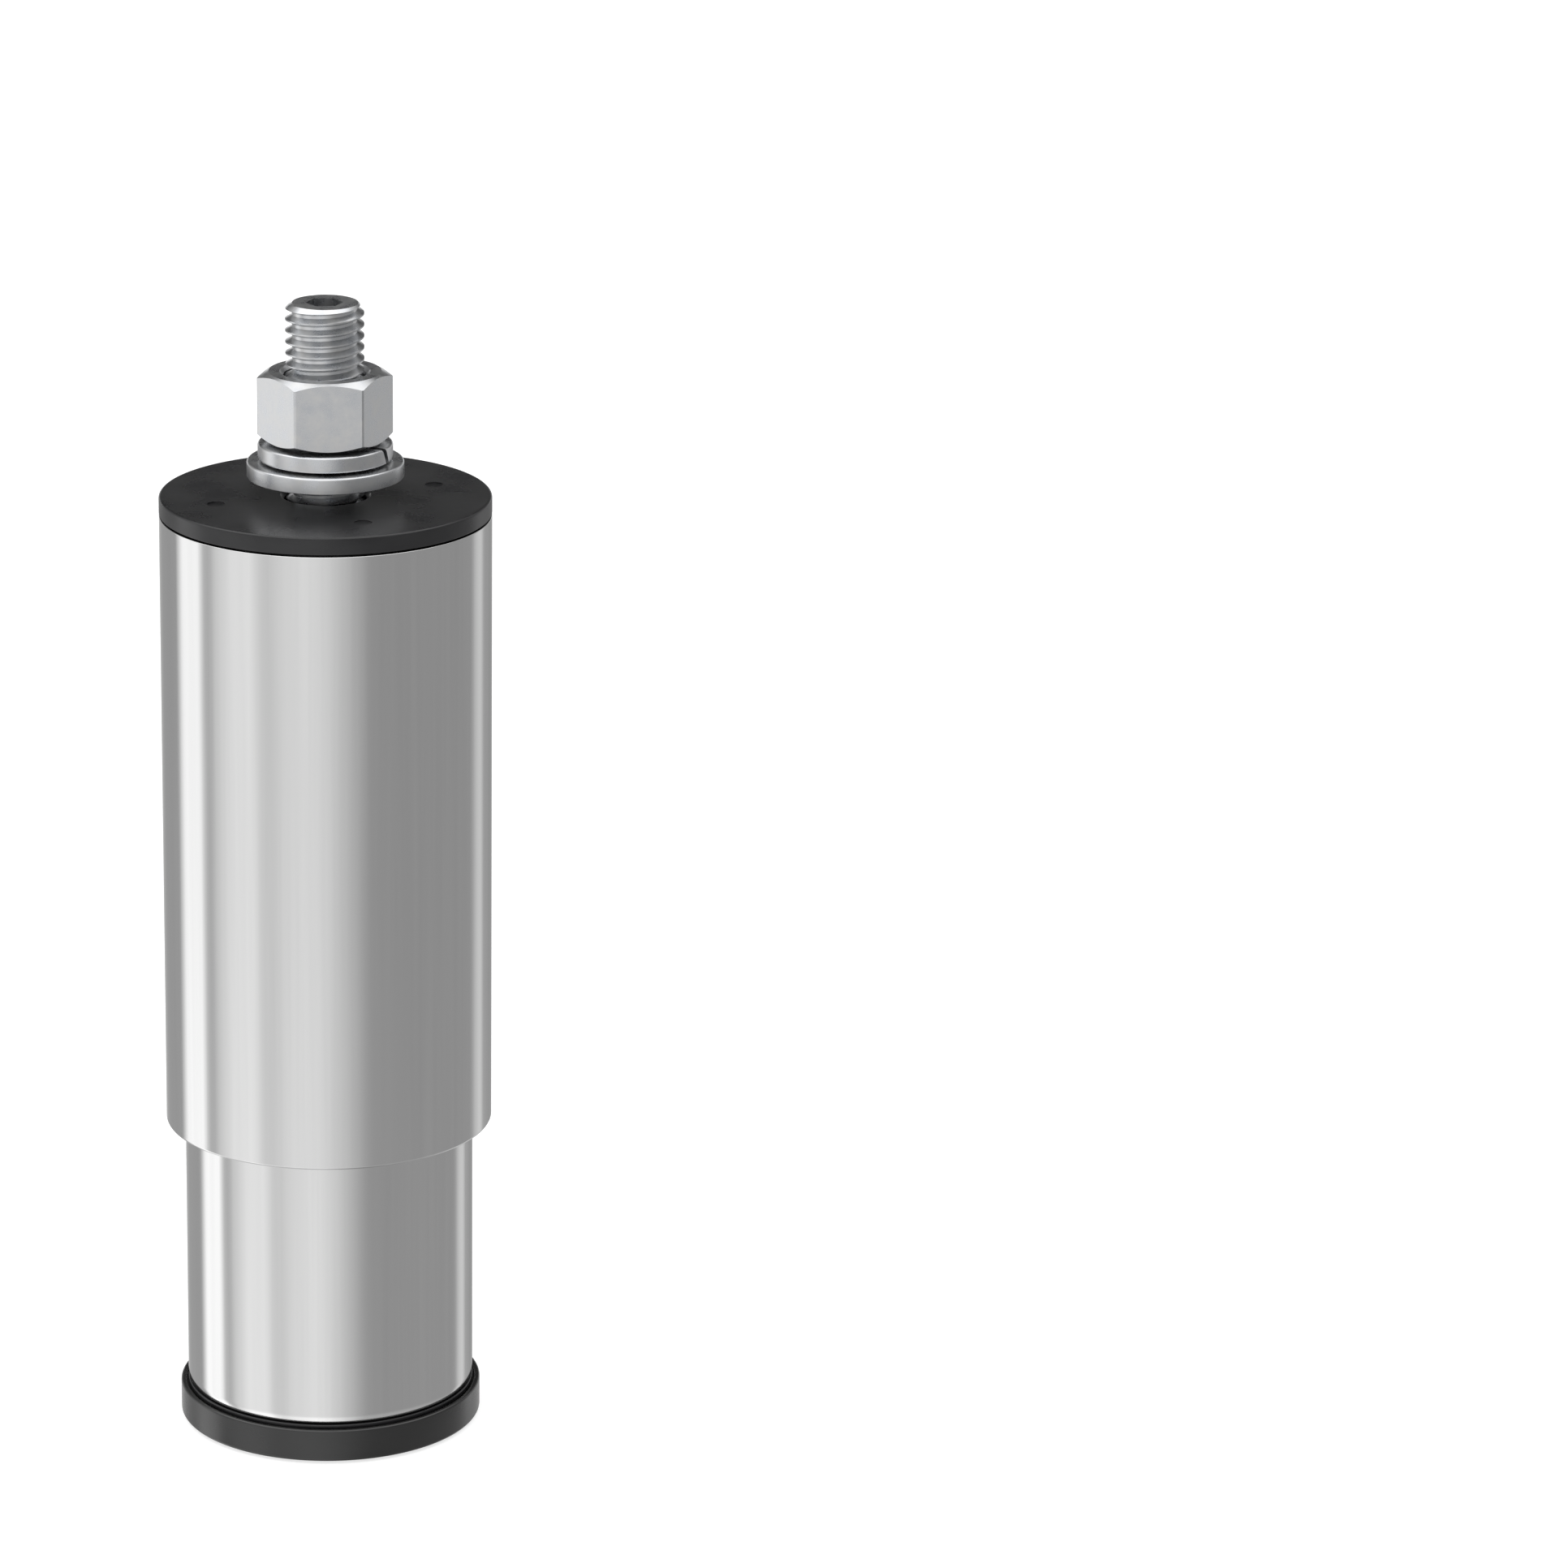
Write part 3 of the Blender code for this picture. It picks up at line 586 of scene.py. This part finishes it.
def top_insert():
    """Nylon plug in the sleeve's top. Its seat has a countersunk hole and ejector pin marks."""
    outer, _, low, high = size_of("top_insert")
    underside = size_of("outer_tube")[3] + GAP
    pin_low, pin_high = (corner.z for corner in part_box("lock_pin"))
    skirt = outer - TUBE_WALL - 2 * GAP
    inside = skirt - PLUG_SKIRT
    core = underside - PLUG_SKIRT
    corners = [
        (outer, high, 0.0004),
        (outer, underside, 0.00015),
        (skirt, underside, 0),
        (skirt, low, 0.0006),
        (inside, low, 0.0002),
        (inside, core, 0.0005),
        (BOSS_RADIUS, core, 0.0005),
        (BOSS_RADIUS, low, 0.0003),
        (ROD_HOLE, low, 0),
        (ROD_HOLE, high - HOLE_SINK, 0),
        (ROD_HOLE + HOLE_SINK, high, 0.0001),
    ]
    plug = turned("top_insert_plug", corners)
    webbed(plug, BOSS_RADIUS, inside, low + PAST, core + BITE, math.pi / WEBS)
    ribbed(plug, skirt, low + PAST, underside + BITE)
    hex_socket(plug, NUT_FLATS["insert_nut"] + 2 * GAP, low - PAST, size_of("insert_nut")[3] + 2 * GAP)
    cross_hole(plug, (pin_high - pin_low) / 2 + GAP, (pin_low + pin_high) / 2, 2.2 * outer)
    for i in range(MARKS):
        mark = prism("mark", MARK_RADIUS, high - MARK_DEPTH, high + PAST, TOOL_STEPS)
        mark.data.transform(Matrix.Translation((MARK_PLACE, 0.0, 0.0)))
        mark.data.transform(Matrix.Rotation(around(i, MARKS, math.pi / MARKS), 4, "Z"))
        combine(plug, mark, "DIFFERENCE")
    place(plug, "top_insert", "black_nylon")


def lower_plug():
    """Nylon plug in the lower tube's end: a thin lip under the tube, and webs over its floor."""
    outer, bore, low, high = size_of("lower_plug")
    lip = size_of("lower_tube")[2] - GAP
    skirt = outer - TUBE_WALL - 2 * GAP
    floor_low = size_of("glide_washer")[3] + GAP
    floor_high = size_of("pivot_washer")[2] - GAP
    corners = [
        (skirt, high, 0.0004),
        (skirt, lip, 0),
        (outer, lip, 0.0002),
        (outer, low, 0.0002),
        (CAVITY_RADIUS, low, 0.0003),
        (CAVITY_RADIUS, floor_low, 0.0003),
        (bore, floor_low, 0.0002),
        (bore, floor_high, 0.0002),
        (WELL_RADIUS, floor_high, 0.0005),
        (WELL_RADIUS, high, 0.0002),
    ]
    plug = turned("lower_plug_moulding", corners)
    webbed(plug, WELL_WEB_START, WELL_RADIUS, floor_high - BITE, high - 2 * PAST)
    ribbed(plug, skirt, lip - GAP, high - PAST)
    place(plug, "lower_plug", "black_nylon")


def guide_bush():
    """Split nylon ring in the sleeve's mouth."""
    outer, inner, low, high = size_of("guide_bush")
    corners = [(outer, high, 0.0003), (outer, low, 0.0003), (inner, low, 0.0003), (inner, high, 0.0003)]
    bush = turned("guide_bush_ring", corners)
    slit = plates("slit", 1, inner - PAST, outer + PAST, BUSH_SLIT, low - PAST, high + PAST, math.pi / 2)
    combine(bush, slit, "DIFFERENCE")
    place(bush, "guide_bush", "black_nylon")


# ---------------------------------------------------------------- foot


def foot_base():
    """Moulded foot: a low rim round the tube's end, a boss for the pivot, and the pad's recess."""
    outer, bore, low, boss_top = size_of("foot_base")
    pad_outer, pad_inner, _, pad_top = size_of("foot_pad")
    floor_top = size_of("lower_plug")[2] - GAP
    head_top = size_of("pivot_bolt")[2] + HEAD_HEIGHT + GAP
    corners = [
        (outer - RIM_WALL, FOOT_HEIGHT, 0.0002),
        (outer, FOOT_HEIGHT, RIM_EDGE),
        (outer, low, 0.0005),
        (pad_outer + GAP, low, 0.0002),
        (pad_outer + GAP, pad_top + GAP, 0.0002),
        (pad_inner - GAP, pad_top + GAP, 0.0002),
        (pad_inner - GAP, low, 0.0002),
        (HEAD_WELL, low, 0.0003),
        (HEAD_WELL, head_top, 0.0002),
        (bore, head_top, 0),
        (bore, boss_top, 0.0002),
        (FOOT_BOSS, boss_top, 0.0004),
        (FOOT_BOSS, floor_top, 0.0004),
        (outer - RIM_WALL, floor_top, 0.0002),
    ]
    place(turned("foot_base_moulding", corners), "foot_base", "black_plastic")


def foot_pad():
    """Rubber sole: ring grooves, and short notches across its outer and inner lands."""
    outer, inner, low, high = size_of("foot_pad")
    corners = [(outer, high, 0.0001), (outer, low, 0.0003)]
    for groove in PAD_GROOVES:
        far = groove - PAD_GROOVE_WIDTH
        corners += [
            (groove, low, 0.0001),
            (groove, low + PAD_GROOVE_DEPTH, 0),
            (far, low + PAD_GROOVE_DEPTH, 0),
            (far, low, 0.0001),
        ]
    corners += [(inner, low, 0.0003), (inner, high, 0.0001)]
    pad = turned("foot_pad_rubber", corners)
    middle = PAD_GROOVES[0] - PAD_GROOVE_WIDTH / 2
    notches = plates(
        "notches",
        PAD_NOTCHES,
        middle,
        outer + GAP,
        PAD_NOTCH_WIDTH,
        low - GAP,
        low + PAD_NOTCH_DEPTH,
    )
    combine(pad, notches, "DIFFERENCE")
    place(pad, "foot_pad", "black_rubber")


def pivot_bolt():
    """M8 bolt with a low head and a hexagon socket, put in from under the foot."""
    _, _, low, high = size_of("pivot_bolt")
    head_top = low + HEAD_HEIGHT
    corners = [
        (0.0, high, 0),
        (PIVOT_RADIUS - PIVOT_CHAMFER, high, 0.0001),
        (PIVOT_RADIUS, high - PIVOT_CHAMFER, 0.0001),
        (PIVOT_RADIUS, head_top, 0),
        (HEAD_RADIUS, head_top, 0.0003),
        (HEAD_RADIUS, low, 0.0009),
        (0.0, low, 0),
    ]
    bolt = turned("pivot_bolt_m8", corners, closed=False)
    hex_socket(bolt, HEAD_SOCKET_FLATS, low - GAP, low + HEAD_SOCKET_DEPTH)
    place(bolt, "pivot_bolt", "zinc_plated_steel")


tube("outer_tube", SLEEVE_EDGE)
tube("lower_tube", BURR, TAPER_DEPTH)
threaded_rod()
for nut in NUT_FLATS:
    hex_nut(nut)
washer("flat_washer", "zinc_plated_steel", 0.0004, 0.00012)
washer("stop_washer", "zinc_plated_steel", 0.0003, 0.00012)
washer("pivot_washer", "zinc_plated_steel", 0.0002, 0.0001)
washer("nut_cap", "zinc_plated_steel", 0.0002, 0.0001)
washer("glide_washer", "white_acetal", 0.0001, 0.0001)
spring_washer()
top_insert()
guide_bush()
lower_plug()
foot_base()
foot_pad()
pivot_bolt()

# The CAD nodes that are still shown are hidden inside the leg. They keep their shapes.
for node, slot in {
    "lock_pin": "spring_steel",
    "retaining_ring": "spring_steel",
    "nut_carrier": "black_nylon",
}.items():
    frame["nodes"][node].data.materials.clear()
    frame["nodes"][node].data.materials.append(FINISHES[slot])


# ---------------------------------------------------------------- floor, light and camera

# What stands round the leg, by its direction from the camera's side in degrees to the right,
# as brightness on the tubes: dark cards, grey cards and strip lights. The levels were set render
# by render, against the brightness measured across the tubes in the photograph.
SURROUND = [
    (-180, 0.43),
    (-173, 0.53),
    (-166, 0.32),
    (-156, 0.27),
    (-127, 0.275),
    (-120, 0.82),
    (-116, 0.94),
    (-110, 0.86),
    (-100, 0.93),
    (-94, 0.4),
    (-88, 0.38),
    (-84, 0.53),
    (-70, 0.71),
    (-54, 0.72),
    (-47, 0.565),
    (-40, 0.53),
    (-30, 0.62),
    (-16, 0.67),
    (-3, 0.625),
    (12, 0.47),
    (30, 0.27),
    (38, 0.257),
    (106, 0.253),
    (121, 0.26),
    (128, 0.48),
    (136, 0.55),
    (142, 0.3),
    (160, 0.235),
    (170, 0.27),
    (180, 0.43),
]

# How much of the cards shows all round by height, as the sine of the elevation.
CARD_SHARE = [
    (-0.80, 0.65),
    (-0.68, 1.40),
    (-0.57, 1.40),
    (-0.47, 1.06),
    (-0.36, 1.06),
    (-0.31, 1.0),
    (0.06, 1.0),
    (0.16, 0.0),
]

# The cards' upper halves, which stand in front and at the sides only.
UPPER_BEARING = [(-165, 0.0), (-130, 1.0), (130, 1.0), (165, 0.0)]
UPPER_SHARE = [(0.06, 0.0), (0.16, 0.9), (0.75, 0.9), (0.92, 0.2)]

# What the floor's bounce and the ceiling light add.
PLAIN_LIGHT = [(-0.80, 0.12), (-0.66, 0.0), (0.10, 0.0), (0.16, 0.03), (0.60, 0.03), (0.80, 1.5)]

# The lit backdrop behind the leg: where it stands, and its height above the horizon.
BACKDROP_BEARING = [(-158, 1.0), (-138, 0.0), (138, 0.0), (158, 1.0)]
BACKDROP_HEIGHT = [(-0.10, 0.0), (-0.02, 0.75), (0.05, 0.75), (0.12, 0.0)]

# The brightest level that the light may reach, and the share of it that the steel gives back.
RAMP_TOP = 3.0
STEEL_REFLECTANCE = 0.72


def ramp(tree, value, limit, stops, scale=1.0):
    """A curve of grey levels over a value that runs from -limit to limit."""
    spread = tree.nodes.new("ShaderNodeMapRange")
    spread.inputs["From Min"].default_value = -limit
    spread.inputs["From Max"].default_value = limit
    tree.links.new(value, spread.inputs["Value"])
    made = tree.nodes.new("ShaderNodeValToRGB")
    elements = made.color_ramp.elements
    while len(elements) < len(stops):
        elements.new(0.5)
    for element, (position, level) in zip(elements, stops):
        element.position = (position + limit) / (2 * limit)
        element.color = (level * scale,) * 3 + (1.0,)
    tree.links.new(spread.outputs["Result"], made.inputs["Fac"])
    return made.outputs["Color"]


def maths(tree, operation, first, second):
    """One step of arithmetic on two values, each a number or another node's output."""
    step = tree.nodes.new("ShaderNodeMath")
    step.operation = operation
    for socket, value in zip(step.inputs, (first, second)):
        if isinstance(value, float):
            socket.default_value = value
        else:
            tree.links.new(value, socket)
    return step.outputs["Value"]


def studio():
    """The world: strip lights and cards round the leg, a ceiling light, and a plain white backdrop."""
    world = bpy.data.worlds.new("studio")
    bpy.context.scene.world = world
    world.use_nodes = True
    tree = world.node_tree
    direction = tree.nodes.new("ShaderNodeTexCoord").outputs["Generated"]
    rotate = tree.nodes.new("ShaderNodeVectorRotate")
    rotate.rotation_type = "Z_AXIS"
    rotate.inputs["Angle"].default_value = -math.radians(CAMERA_AZIMUTH)
    tree.links.new(direction, rotate.inputs["Vector"])
    axes = tree.nodes.new("ShaderNodeSeparateXYZ")
    tree.links.new(rotate.outputs["Vector"], axes.inputs["Vector"])
    towards = maths(tree, "MULTIPLY", axes.outputs["Y"], -1.0)
    bearing = maths(tree, "ARCTAN2", axes.outputs["X"], towards)
    degrees = maths(tree, "MULTIPLY", bearing, math.degrees(1.0))
    height = axes.outputs["Z"]
    cards = ramp(tree, degrees, 180, SURROUND, 1 / STEEL_REFLECTANCE / RAMP_TOP)
    front = ramp(tree, degrees, 180, UPPER_BEARING)
    upper = maths(tree, "MULTIPLY", front, ramp(tree, height, 1, UPPER_SHARE))
    share = maths(tree, "ADD", ramp(tree, height, 1, CARD_SHARE), upper)
    shown_cards = maths(tree, "MULTIPLY", cards, share)
    plain = ramp(tree, height, 1, PLAIN_LIGHT, 1 / RAMP_TOP)
    behind = ramp(tree, degrees, 180, BACKDROP_BEARING, 1 / RAMP_TOP)
    shown_backdrop = maths(tree, "MULTIPLY", behind, ramp(tree, height, 1, BACKDROP_HEIGHT))
    light = maths(tree, "ADD", maths(tree, "ADD", shown_cards, plain), shown_backdrop)
    around_leg = tree.nodes["Background"]
    tree.links.new(light, around_leg.inputs["Color"])
    around_leg.inputs["Strength"].default_value = RAMP_TOP
    backdrop = tree.nodes.new("ShaderNodeBackground")
    backdrop.inputs["Color"].default_value = (1.0, 1.0, 1.0, 1.0)
    path = tree.nodes.new("ShaderNodeLightPath")
    mix = tree.nodes.new("ShaderNodeMixShader")
    tree.links.new(path.outputs["Is Camera Ray"], mix.inputs["Fac"])
    tree.links.new(around_leg.outputs["Background"], mix.inputs[1])
    tree.links.new(backdrop.outputs["Background"], mix.inputs[2])
    tree.links.new(mix.outputs["Shader"], tree.nodes["World Output"].inputs["Surface"])


def floor():
    """A plain white floor that stays under the foot and is seen only from above.

    The steel mirrors the studio's cards through it.
    """
    bm = bmesh.new()
    bmesh.ops.create_grid(bm, x_segments=1, y_segments=1, size=8.0)
    sheet = new_object("floor", bm)
    material = bpy.data.materials.new("white_floor")
    material.use_nodes = True
    tree = material.node_tree
    shader = tree.nodes["Principled BSDF"]
    shader.inputs["Base Color"].default_value = (0.45, 0.45, 0.45, 1.0)
    shader.inputs["Roughness"].default_value = 1.0
    shader.inputs["Specular IOR Level"].default_value = 0.0
    shader.inputs["Emission Color"].default_value = (1.0, 1.0, 1.0, 1.0)
    shader.inputs["Emission Strength"].default_value = 0.72
    facing = tree.nodes.new("ShaderNodeNewGeometry")
    clear = tree.nodes.new("ShaderNodeBsdfTransparent")
    mix = tree.nodes.new("ShaderNodeMixShader")
    tree.links.new(facing.outputs["Backfacing"], mix.inputs["Fac"])
    tree.links.new(shader.outputs["BSDF"], mix.inputs[1])
    tree.links.new(clear.outputs["BSDF"], mix.inputs[2])
    tree.links.new(mix.outputs["Shader"], tree.nodes["Material Output"].inputs["Surface"])
    sheet.data.materials.append(material)
    sheet.visible_glossy = False
    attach(sheet, frame["nodes"]["glide_washer"]["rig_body"])


def camera():
    """A long lens from the front right of the leg, a little above it."""
    made = bpy.data.objects.new("camera", bpy.data.cameras.new("camera"))
    bpy.context.scene.collection.objects.link(made)
    turn = math.radians(CAMERA_AZIMUTH)
    position = (CAMERA_DISTANCE * math.sin(turn), -CAMERA_DISTANCE * math.cos(turn), CAMERA_HEIGHT)
    made.matrix_world = (
        Matrix.Translation(position)
        @ Matrix.Rotation(turn - math.radians(CAMERA_PAN), 4, "Z")
        @ Matrix.Rotation(math.radians(90 - CAMERA_TILT), 4, "X")
        @ Matrix.Rotation(math.radians(CAMERA_ROLL), 4, "Z")
    )
    made.data.sensor_width = 36.0
    made.data.lens = CAMERA_LENS
    bpy.context.scene.camera = made


studio()
floor()
camera()
bpy.context.scene.view_settings.view_transform = "Standard"
